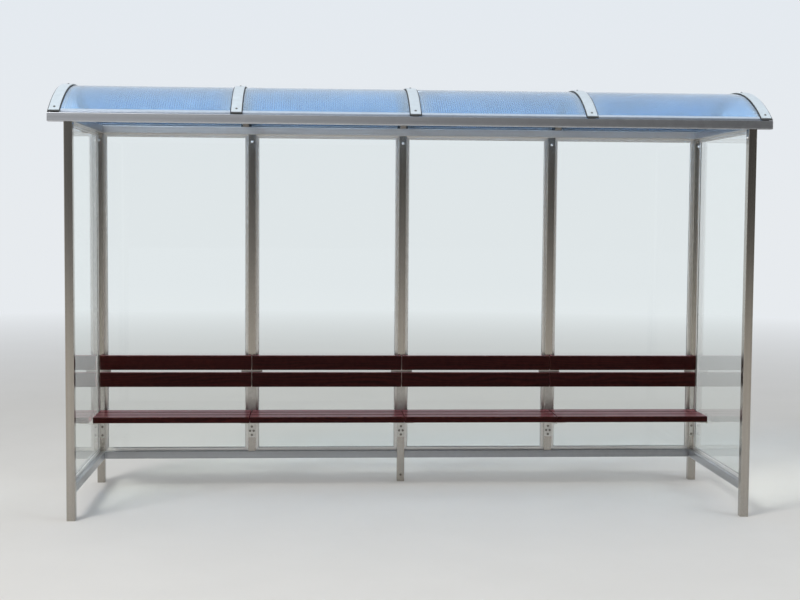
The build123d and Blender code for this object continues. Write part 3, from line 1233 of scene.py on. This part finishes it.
@dataclass
class ArchedRoof:
    """Bent ribs, twin-wall sheets, edge trims, rubber strips and screwed cover strips on one arc.

    Its angles are in radians, from the crown.
    """

    sheet_thickness: float = 10.0 * MM
    flute_pitch: float = 13.2 * MM
    half_web: float = 0.32 * MM
    edge_height: float = 12.0 * MM
    rib_width: float = 40.0 * MM
    rib_depth: float = 25.0 * MM
    rib_corner: float = 2.5 * MM
    rib_overlap: float = math.radians(3.0)
    gasket_width: float = 71.0 * MM
    gasket_thickness: float = 5.0 * MM
    gasket_height: float = 1.0 * MM
    gasket_ease: float = 1.6 * MM
    strip_width: float = 60.0 * MM
    strip_thickness: float = 4.0 * MM
    strip_height: float = 13.0 * MM
    strip_ease: float = 0.9 * MM
    screw_inset: float = 0.034
    screw_spread: float = 0.105
    trim_wall: float = 1.6 * MM
    trim_length: float = 17.0 * MM
    trim_gap: float = 1.0 * MM
    trim_clearance: float = 0.3 * MM
    trim_ease: float = 0.35 * MM
    bays: int = len(SECTIONS)
    bar_steps: int = 56
    sheet_steps: int = 40

    def __post_init__(self) -> None:
        """Work out the arc from the beams and the crown of the sheets."""
        half_chord, self.beam_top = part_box("back_beam")[1].yz
        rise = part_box("roof_sheet_1")[1].z - self.beam_top
        self.radius = half_chord**2 / (2 * rise) + rise / 2
        self.centre_z = self.beam_top + rise - self.radius
        self.pitch = (2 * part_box("cover_strips")[1].x - self.strip_width) / self.bays
        self.stations = [self.pitch * (i - self.bays / 2) for i in range(self.bays + 1)]

    def angle(self, radius: float, height: float) -> float:
        """Return the angle from the crown at which a circle is at a height above the beams."""
        return math.acos((self.beam_top + height - self.centre_z) / radius)

    def outward(self, angle: float) -> Vector:
        """Return the direction away from the arc's centre at an angle from the crown."""
        return Vector((0.0, math.sin(angle), math.cos(angle)))

    def at(self, x: float, radius: float, angle: float) -> Vector:
        """Return a point of the arc."""
        return Vector((x, 0.0, self.centre_z)) + radius * self.outward(angle)

    def sweep(self, work: Workpiece, geometry: list, angle: float, steps: int) -> None:
        """Spin a flat outline over the arc, from the front end to the back end.

        Args:
            work: the piece that holds the outline.
            geometry: the outline's vertices, edges and faces.
            angle: half of the angle that the arc covers.
            steps: number of steps over the arc.
        """
        turn = {"cent": UP * self.centre_z, "axis": Axis.X.unit(), "angle": -2 * angle, "steps": steps}
        bmesh.ops.spin(work.mesh, geom=geometry, use_merge=False, **turn)

    def bars(
        self, name: str, width: float, inner: float, thickness: float, angle: float, ease: float
    ) -> Workpiece:
        """Make one bent bar at every rib.

        Args:
            name: name of the piece.
            width: width of a bar along the shelter.
            inner: radius of its underside.
            thickness: its thickness.
            angle: half of the angle that it covers.
            ease: radius of its long edges.

        Returns:
            The piece, not yet finished.
        """
        work = Workpiece(name)
        for x in self.stations:
            known = set(work.mesh.verts)
            low, high, outer = x - width / 2, x + width / 2, inner + thickness
            corners = ((low, inner), (high, inner), (high, outer), (low, outer))
            verts = work.points(self.at(place, radius, -angle) for place, radius in corners)
            work.mesh.faces.new(verts)
            work.bevel(verts, ease, 3, "VERTICES")
            rounded = set(work.fresh(known))
            faces = [face for face in work.mesh.faces if rounded.issuperset(face.verts)]
            face = max(faces, key=lambda face: len(face.verts))
            self.sweep(work, [*face.verts, *face.edges, face], angle, self.bar_steps)
        return work

    def ribs(self, finish: Finish) -> Object:
        """Make the five bent ribs with feet cut level on the beams.

        Args:
            finish: their surface finish.

        Returns:
            The finished ribs.
        """
        inner = self.radius - self.sheet_thickness - self.rib_depth
        reach = self.angle(inner, 0.0) + self.rib_overlap
        work = self.bars("bent_ribs", self.rib_width, inner, self.rib_depth, reach, self.rib_corner)
        work.cut(UP * self.beam_top, -UP)
        return work.finish(finish, "frame_aluminium", ["roof_ribs"])

    def sheet(self, number: int, finish: Finish) -> Object:
        """Make one twin-wall sheet with open flutes that run over the arch.

        Args:
            number: which sheet, counted from the left.
            finish: its surface finish.

        Returns:
            The finished sheet.
        """
        low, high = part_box(f"roof_sheet_{number}")
        angle = self.angle(self.radius, self.edge_height)
        work = Workpiece(f"fluted_sheet_{number}")
        start = self.at((low.x + high.x) / 2, self.radius - self.sheet_thickness / 2, -angle)
        right, outward = Axis.X.unit(), self.outward(-angle)
        turn = Matrix((right, outward, right.cross(outward))).transposed().to_4x4()
        size = Matrix.Diagonal((high.x - low.x, self.sheet_thickness, 1.0, 1.0))
        place = Matrix.Translation(start) @ turn @ size
        count = round((high.x - low.x) / self.flute_pitch)
        bmesh.ops.create_grid(work.mesh, x_segments=count, y_segments=1, size=0.5, matrix=place)
        cells = work.mesh.faces[:]
        bmesh.ops.inset_individual(work.mesh, faces=cells, thickness=self.half_web, use_even_offset=True)
        bmesh.ops.delete(work.mesh, geom=cells, context="FACES_ONLY")
        self.sweep(work, work.everything(), angle, self.sheet_steps)
        return work.finish(finish, "roof_sheet", [f"roof_sheet_{number}"], smooth_below=20.0)

    def trims(self, side: int, finish: Finish) -> Object:
        """Make the edge trims along one long side.

        Args:
            side: -1 for the front, 1 for the back.
            finish: their surface finish.

        Returns:
            The finished trims.
        """
        name = "front" if side < 0 else "back"
        work = Workpiece(f"edge_channels_{name}")
        edge = self.angle(self.radius, self.edge_height)
        slot = edge + self.trim_clearance / self.radius
        end = slot + self.trim_wall / self.radius
        start = edge - self.trim_length / self.radius
        top = self.radius + self.trim_clearance
        under = self.radius - self.sheet_thickness - self.trim_clearance
        over, below = top + self.trim_wall, under - self.trim_wall
        outline = (
            (over, start), (over, end), (below, end), (below, start),
            (under, start), (under, slot), (top, slot), (top, start),
        )
        run = Axis.X.unit() * (self.pitch - self.gasket_width - 2 * self.trim_gap)
        for left in self.stations[:-1]:
            x = left + self.gasket_width / 2 + self.trim_gap
            verts = work.points(self.at(x, radius, side * angle) for radius, angle in outline)
            verts = work.extrude(work.mesh.faces.new(verts), run)
            work.bevel(work.edges_along(Axis.X, verts), self.trim_ease)
        return work.finish(finish, "bright_aluminium", [f"edge_trims_{name}"])

    def screw_places(self) -> list[Spot]:
        """Find where the strip screws sit.

        Returns:
            Points on the strips and the directions in which the heads face.
        """
        under = self.radius + self.gasket_thickness
        end = self.angle(under, self.strip_height) - self.screw_inset
        turns = (-end, -self.screw_spread, self.screw_spread, end)
        top = under + self.strip_thickness
        return [(self.at(x, top, angle), self.outward(angle)) for x in self.stations for angle in turns]

    def build(self) -> None:
        """Make the whole roof."""
        bright = BrightAluminium("strip_aluminium", Axis.Y, (0.65, 0.72, 0.76), 0.32, 0.2, 0.35)
        trim = BrightAluminium("trim_aluminium", Axis.X, (0.58, 0.65, 0.74), metallic=0.6)
        self.ribs(DrawnAluminium("rib_aluminium", Axis.Y, splashed=0.0))
        plastic = TwinWallPlastic()
        for number in SECTIONS:
            self.sheet(number, plastic)
        for side in (-1, 1):
            self.trims(side, trim)
        gasket = self.gasket_width, self.radius, self.gasket_thickness
        angle = self.angle(self.radius, self.gasket_height)
        gaskets = self.bars("rubber_strips", *gasket, angle, self.gasket_ease)
        gaskets.finish(Rubber(), "black_rubber", ["cover_strip_gaskets"])
        strip = self.strip_width, self.radius + self.gasket_thickness, self.strip_thickness
        angle = self.angle(self.radius + self.gasket_thickness, self.strip_height)
        strips = self.bars("flat_cover_strips", *strip, angle, self.strip_ease)
        strips.finish(bright, "bright_aluminium", ["cover_strips"])


@dataclass
class Bench:
    """Seat and back boards in four sections, on steel brackets."""

    board_ease: float = 4.5 * MM
    end_ease: float = 1.2 * MM
    worn_rim: float = 3.0 * MM
    bracket_ease: float = 0.7 * MM
    flat_below: float = math.radians(1.0)
    sharp_above: float = math.radians(50.0)
    seed: int = 11

    def boards(self, node: str, finish: Finish, draw: random.Random) -> Object:
        """Make the boards of one section, each cut from its own timber.

        Args:
            node: the CAD node they stand for.
            finish: their surface finish.
            draw: source of the boards' own numbers.

        Returns:
            The finished boards.
        """
        work = Workpiece(f"{node}_boards")
        work.mesh.verts.layers.float.new("board")
        for low, high in solid_boxes(node):
            known = set(work.mesh.verts)
            work.bevel(work.edges_along(Axis.X, work.block(low, high)), self.board_ease, 4)
            fresh = set(work.fresh(known))
            ends = [
                edge
                for edge in work.mesh.edges
                if edge.verts[0] in fresh
                and abs((edge.verts[1].co - edge.verts[0].co).x) < MM
                and any(abs(edge.verts[0].co.x - end) < MM for end in (low.x, high.x))
            ]
            work.bevel(ends, self.end_ease)
            work.mark("board", work.fresh(known), draw.random())
        work.frame_faces(self.worn_rim)
        return work.finish(finish, "stained_wood", [node], smooth_below=50.0)

    def brackets(self, finish: Finish) -> Object:
        """Ease the edges of the steel brackets.

        Args:
            finish: their surface finish.

        Returns:
            The finished brackets.
        """
        work = Workpiece("eased_brackets")
        work.mesh.from_mesh(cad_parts["bench_brackets"].data)
        work.weld()
        flat = {"verts": work.mesh.verts, "edges": work.mesh.edges}
        bmesh.ops.dissolve_limit(work.mesh, angle_limit=self.flat_below, **flat)
        sharp = [edge for edge in work.mesh.edges if edge.calc_face_angle(0.0) > self.sharp_above]
        work.bevel(sharp, self.bracket_ease)
        return work.finish(finish, "bracket_steel", ["bench_brackets"])

    def build(self) -> None:
        """Make all boards and brackets."""
        seat = StainedTimber()
        # The backrest's heavy pinkish dust on the boards' top faces is mainly painted highlight.
        back = StainedTimber("backrest_timber", settled=1.0, dust_and_highlight_share=0.7, dust_colour=(0.36, 0.25, 0.25))
        draw = random.Random(self.seed)
        for number in SECTIONS:
            self.boards(f"bench_seat_{number}", seat, draw)
            self.boards(f"bench_back_{number}", back, draw)
        self.brackets(ZincSteel("bracket_zinc", (0.66, 0.64, 0.60), 0.4))


@dataclass(frozen=True)
class Head:
    """Sizes of one kind of fastener head and its washer."""

    shape: HeadShape
    radius: float
    height: float
    washer: float
    washer_thickness: float = 1.2 * MM
    drive: float = 0.42

    def profile(self) -> Outline:
        """Draw the head from its rim to its middle.

        Returns:
            The outline as pairs of radius and height.
        """
        if self.shape is HeadShape.HEXAGON:
            shares = [(1.0, 0.0), (1.0, 0.86), (0.9, 1.0), (0.0, 1.0)]
        else:
            shares = [(1.0, 0.0), (1.0, 0.45), (0.9, 0.8), (0.66, 1.0)]
            if self.shape is HeadShape.DOME:
                turns = [math.radians(angle) for angle in (0, 22, 44, 62)]
                shares = [(math.cos(turn), math.sin(turn)) for turn in turns]
            shares += [(self.drive * 1.08, 1.0), (self.drive, 0.94), (self.drive, 0.4), (0.0, 0.34)]
        return [(self.radius * out, self.washer_thickness + self.height * up) for out, up in shares]


@dataclass
class Fasteners:
    """Screws and bolts that show on the roof, the posts and the bench."""

    roof: ArchedRoof
    strip_screw: Head = Head(HeadShape.PAN, 4.6 * MM, 2.9 * MM, 7.5 * MM)
    post_bolt: Head = Head(HeadShape.DOME, 6.8 * MM, 4.0 * MM, 8.6 * MM)
    bracket_bolt: Head = Head(HeadShape.HEXAGON, 6.6 * MM, 4.6 * MM, 8.0 * MM)
    board_screw: Head = Head(HeadShape.PAN, 4.2 * MM, 2.6 * MM, 6.0 * MM)
    post_bolt_drop: float = 48.0 * MM
    side_bolt_drop: float = 50.0 * MM
    plate_thickness: float = 6.0 * MM
    bracket_bolt_height: float = 347.0 * MM
    bracket_bolt_rise: float = 28.0 * MM
    bracket_bolt_spread: float = 12.0 * MM
    corner_bolt_x: float = 1989.0 * MM
    corner_from: float = 1500.0 * MM
    foot_bolt_height: float = 45.0 * MM
    seat_plate: float = 5.0 * MM
    seat_screw_inset: float = 22.0 * MM
    back_screw_inset: float = 46.0 * MM
    segments: int = 18

    def spun(self, work: Workpiece, outline: Outline) -> None:
        """Spin an outline round the Z axis.

        Args:
            work: the piece that gets the turned shape.
            outline: pairs of radius and height.
        """
        verts = work.points(Vector((radius, 0.0, height)) for radius, height in outline)
        edges = [work.mesh.edges.new(pair) for pair in zip(verts, verts[1:])]
        turn = {"cent": Vector(), "axis": UP, "angle": math.tau, "steps": self.segments}
        bmesh.ops.spin(work.mesh, geom=verts + edges, use_merge=True, **turn)
        work.weld(WELD / 5)

    def template(self, head: Head) -> bpy.types.Mesh:
        """Make one head on its washer, standing on the origin and facing up.

        Args:
            head: its sizes.

        Returns:
            The mesh.
        """
        work = Workpiece("head")
        rim = head.washer_thickness
        washer = [(0.0, 0.0), (head.washer, 0.0), (head.washer, rim * 0.7), (head.washer * 0.95, rim)]
        self.spun(work, [*washer, *head.profile()])
        pressed = (0.85, 1.01) if head.shape is HeadShape.HEXAGON else (0.0, head.drive * 1.01)
        above, below = (head.radius * share for share in pressed)
        for vert in work.mesh.verts:
            if above < vert.co.xy.length < below and vert.co.z > rim * 0.99:
                self._press(vert)
        return work.data()

    def _press(self, vert: BMVert) -> None:
        """Move a vertex of a ring inwards on to the ring's hexagon."""
        turn = math.atan2(vert.co.y, vert.co.x) % math.radians(60.0) - math.radians(30.0)
        vert.co.xy *= math.cos(math.radians(30.0)) / math.cos(turn)

    def group(self, name: str, head: Head, spots: Iterable[Spot], finish: Finish) -> None:
        """Set one kind of head in all its places.

        Args:
            name: name of the piece.
            head: the head's sizes.
            spots: points on the surface and the directions in which the heads face.
            finish: the surface finish.
        """
        work = Workpiece(name)
        template = self.template(head)
        for number, (point, facing) in enumerate(spots):
            turn = facing.to_track_quat("Z", "Y").to_matrix().to_4x4()
            spin = Matrix.Rotation(math.radians(37.0 * number), 4, "Z")
            work.join(template, Matrix.Translation(point) @ turn @ spin)
        bpy.data.meshes.remove(template)
        work.finish(finish, "bracket_steel")

    def post_places(self) -> list[Spot]:
        """Find the domed bolts at the head of each post.

        Returns:
            Points on the posts and the directions in which the heads face.
        """
        spots = []
        for node in "corner_post_left mullion_left middle_post mullion_right corner_post_right".split():
            point = face_middle(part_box(node), Axis.Y, -1)
            point.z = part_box(node)[1].z - self.post_bolt_drop
            spots.append((point, TO_FRONT))
        for side in Side:
            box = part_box(f"front_post_{side.name.lower()}")
            point = face_middle(box, Axis.X, -side.value)
            point.z = box[1].z - self.side_bolt_drop
            spots.append((point, Axis.X.unit() * -side.value))
        return spots

    def bracket_places(self) -> list[Spot]:
        """Find the bolts of the bracket plates and the one at the foot of the middle post.

        Each plate has four bolts in a diamond, or at the corners two in a column.

        Returns:
            Points on the plates and the post, and the directions in which the heads face.
        """
        spots = []
        for low, high in solid_boxes("bench_brackets"):
            middle = (low.x + high.x) / 2
            pattern = [(0.0, self.bracket_bolt_rise), (0.0, -self.bracket_bolt_rise)]
            if abs(middle) > self.corner_from:
                middle = math.copysign(self.corner_bolt_x, middle)
            else:
                pattern += [(-self.bracket_bolt_spread, 0.0), (self.bracket_bolt_spread, 0.0)]
            face = Vector((middle, high.y - self.plate_thickness, self.bracket_bolt_height))
            spots += [(face + Vector((aside, 0.0, rise)), TO_FRONT) for aside, rise in pattern]
        foot = face_middle(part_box("middle_post"), Axis.Y, -1)
        foot.z = self.foot_bolt_height
        spots.append((foot, TO_FRONT))
        return spots

    def board_places(self) -> list[Spot]:
        """Find the screws under the seat and behind the backrest, beside each post.

        Returns:
            Points on the plates and the directions in which the heads face.
        """
        rows = (
            ("seat", Axis.Z, -1, self.seat_plate, self.seat_screw_inset),
            ("back", Axis.Y, 1, self.plate_thickness, self.back_screw_inset),
        )
        spots = []
        for number in SECTIONS:
            for row, axis, side, plate, inset in rows:
                for low, high in solid_boxes(f"bench_{row}_{number}"):
                    facing = axis.unit() * side
                    for x in (low.x + inset, high.x - inset):
                        point = face_middle((low, high), axis, side) + facing * plate
                        spots.append((Vector((x, point.y, point.z)), facing))
        return spots

    def build(self) -> None:
        """Set every fastener."""
        steel = ZincSteel("screw_steel", (0.24, 0.245, 0.23), 0.3, 400.0)
        dark = ZincSteel("weathered_bolt", (0.25, 0.23, 0.205), 0.45, 300.0)
        # The domed post bolts are near white: a painted glint.
        bright = BrightAluminium("bolt_cap_painted_glint", Axis.Z, (0.95, 0.95, 0.94), 0.2, metallic=0.65)
        self.group("strip_screws", self.strip_screw, self.roof.screw_places(), steel)
        self.group("post_bolts", self.post_bolt, self.post_places(), bright)
        self.group("bracket_bolts", self.bracket_bolt, self.bracket_places(), dark)
        self.group("board_screws", self.board_screw, self.board_places(), steel)


@dataclass
class Studio:
    """Pale floor, soft light and the camera at the photograph's viewing angle."""

    eye: tuple[float, float, float] = (-0.5934, -8.5918, 1.8080)
    yaw: float = 0.0635
    pitch: float = 0.0633
    roll: float = 0.0074
    lens: float = 61.59
    sensor_width: float = 36.0
    floor_radius: float = 60.0
    floor_segments: int = 64
    backdrop: Colour = (0.80, 0.83, 0.86)
    zenith: Colour = (0.70, 0.79, 0.90)
    trees: Colour = (0.20, 0.195, 0.185)
    wall: Colour = (0.05, 0.05, 0.05)
    soft_light: Colour = (0.97, 0.985, 1.0)
    light_level: float = 0.62
    aim: tuple[float, float, float] = (0.0, 0.0, 1.1)

    def floor(self) -> None:
        """Lay the round floor."""
        work = Workpiece("floor")
        ring = {"radius": self.floor_radius, "segments": self.floor_segments}
        bmesh.ops.create_circle(work.mesh, cap_ends=True, **ring)
        data = work.data()
        data.materials.append(StudioFloor(self.backdrop).material())
        stand_in_scene("floor", data)

    def world(self) -> None:
        """Light the scene softly from all round, with a pale backdrop for what the eye and the metal see."""
        world = bpy.data.worlds.new("soft_light")
        world.use_nodes = True
        world.node_tree.nodes.clear()
        graph = Graph(world.node_tree)
        x, y, z = graph.parts(graph.node("TexCoord").outputs["Generated"])
        mirrored = graph.mirrored()
        ahead = graph.remap(y, 0.0, -0.6)
        aside = graph.times(graph.remap(x, -0.15, 0.35), ahead, mirrored)
        skyline = graph.remap(graph.calc("SUBTRACT", z, graph.times(x, 1.2)), 0.8, 0.3)
        colour = graph.layers(
            graph.mix(graph.remap(z, 0.0, 0.7), self.backdrop, self.zenith),
            (graph.times(aside, 0.8), self.trees),
            (graph.times(ahead, skyline, mirrored), self.wall),
        )
        soft = graph.node("Background", {"Color": self.soft_light, "Strength": self.light_level})
        seen = graph.node("Background", {"Color": colour, "Strength": 1.0})
        graph.output(graph.blend(graph.sight(), soft, seen), "World")
        bpy.context.scene.world = world

    def lamp(self, name: str, place: Vector, size: float, watts: float, colour: Colour) -> None:
        """Hang one square soft lamp that faces the shelter.

        Args:
            name: its name.
            place: where it hangs.
            size: length of its sides.
            watts: its power.
            colour: its colour.
        """
        data = bpy.data.lights.new(name, "AREA")
        data.shape = "SQUARE"
        data.size = size
        data.energy = watts
        data.color = colour
        turn = (Vector(self.aim) - place).to_track_quat("-Z", "Y").to_matrix().to_4x4()
        stand_in_scene(name, data).matrix_world = Matrix.Translation(place) @ turn

    def camera(self) -> None:
        """Set the camera where the photograph was taken."""
        level = Vector((math.sin(self.yaw), math.cos(self.yaw), 0.0))
        forward = level * math.cos(self.pitch) - UP * math.sin(self.pitch)
        right = level.cross(UP)
        up = right.cross(forward)
        cos, sin = math.cos(self.roll), math.sin(self.roll)
        axes = Matrix((right * cos + up * sin, up * cos - right * sin, -forward)).transposed()
        data = bpy.data.cameras.new("camera")
        data.sensor_width = self.sensor_width
        data.lens = self.lens
        eye = stand_in_scene("camera", data)
        eye.matrix_world = Matrix.Translation(Vector(self.eye)) @ axes.to_4x4()
        bpy.context.scene.camera = eye

    def build(self) -> None:
        """Set up floor, light and camera."""
        self.floor()
        self.world()
        self.lamp("key", Vector((-5.5, -6.0, 9.0)), 3.0, 640.0, (1.0, 0.975, 0.94))
        self.lamp("fill", Vector((7.0, -4.0, 5.0)), 4.0, 150.0, (0.92, 0.96, 1.0))
        self.camera()
        bpy.context.scene.view_settings.view_transform = "Standard"


def main() -> None:
    """Build the shelter and its studio in order."""
    logging.basicConfig(level=logging.INFO, format="%(name)s %(message)s")
    Studio().build()
    TubeFrame().build()
    Glazing().build()
    roof = ArchedRoof()
    roof.build()
    Bench().build()
    Fasteners(roof).build()


if __name__ == "__main__":
    main()
